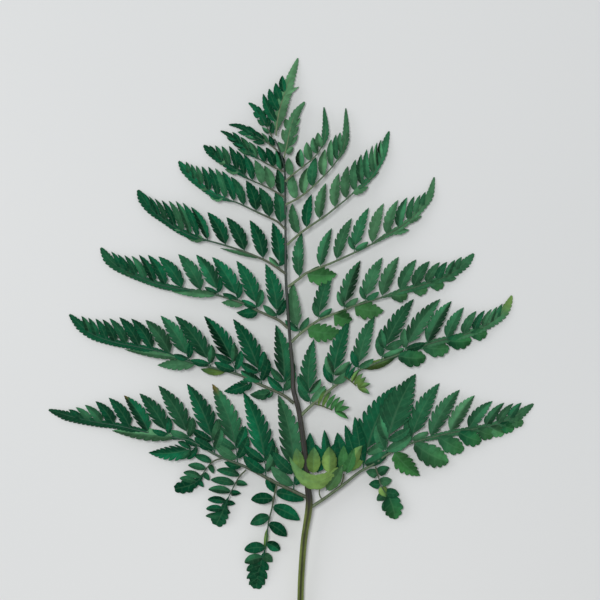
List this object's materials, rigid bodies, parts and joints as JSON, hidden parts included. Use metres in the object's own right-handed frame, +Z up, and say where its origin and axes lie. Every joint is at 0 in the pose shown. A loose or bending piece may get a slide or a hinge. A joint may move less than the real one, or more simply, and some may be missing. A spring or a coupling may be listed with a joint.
{
  "type": "bracken fern frond",
  "caption": "Cut fern frond lying flat: an arched olive stem with feathery branched side leaves of glossy, toothed dark green leaflets.",
  "frame": {"origin": "middle of the frond's box in plan, at the height of the surface it rests on", "axes": "+Y towards the tip of the frond, +Z up out of the leaf's upper face, +X to the right seen from above with the tip pointing away"},
  "size_m": [0.293, 0.3982, 0.0154],
  "materials": {
    "leaf_dark": "waxy upper leaf face, satin, dark emerald green",
    "leaf_light": "waxy upper leaf face, satin, mid green, slightly yellow",
    "stalk": "smooth grooved stalk, olive below the blade and brown to dark green in it"
  },
  "bodies": {
    "root": {"pinna_left_1": "leaf_dark", "pinna_left_2": "leaf_dark", "pinna_left_3": "leaf_dark", "pinna_left_4": "leaf_dark", "pinna_left_5": "leaf_dark", "pinna_left_6": "leaf_dark", "pinna_left_7": "leaf_dark", "pinna_left_8": "leaf_dark", "pinna_left_9": "leaf_dark", "pinna_right_1": "leaf_light", "pinna_right_2": "leaf_light", "pinna_right_3": "leaf_light", "pinna_right_4": "leaf_light", "pinna_right_5": "leaf_light", "pinna_right_6": "leaf_light", "pinna_right_7": "leaf_light", "pinna_right_8": "leaf_light", "stem": "stalk", "sub_pinna_left_b": "leaf_dark", "sub_pinna_left_c": "leaf_dark", "sub_pinna_left_d": "leaf_dark", "sub_pinna_right_e": "leaf_light", "terminal_leaf": "leaf_light"}
  },
  "joints": []
}
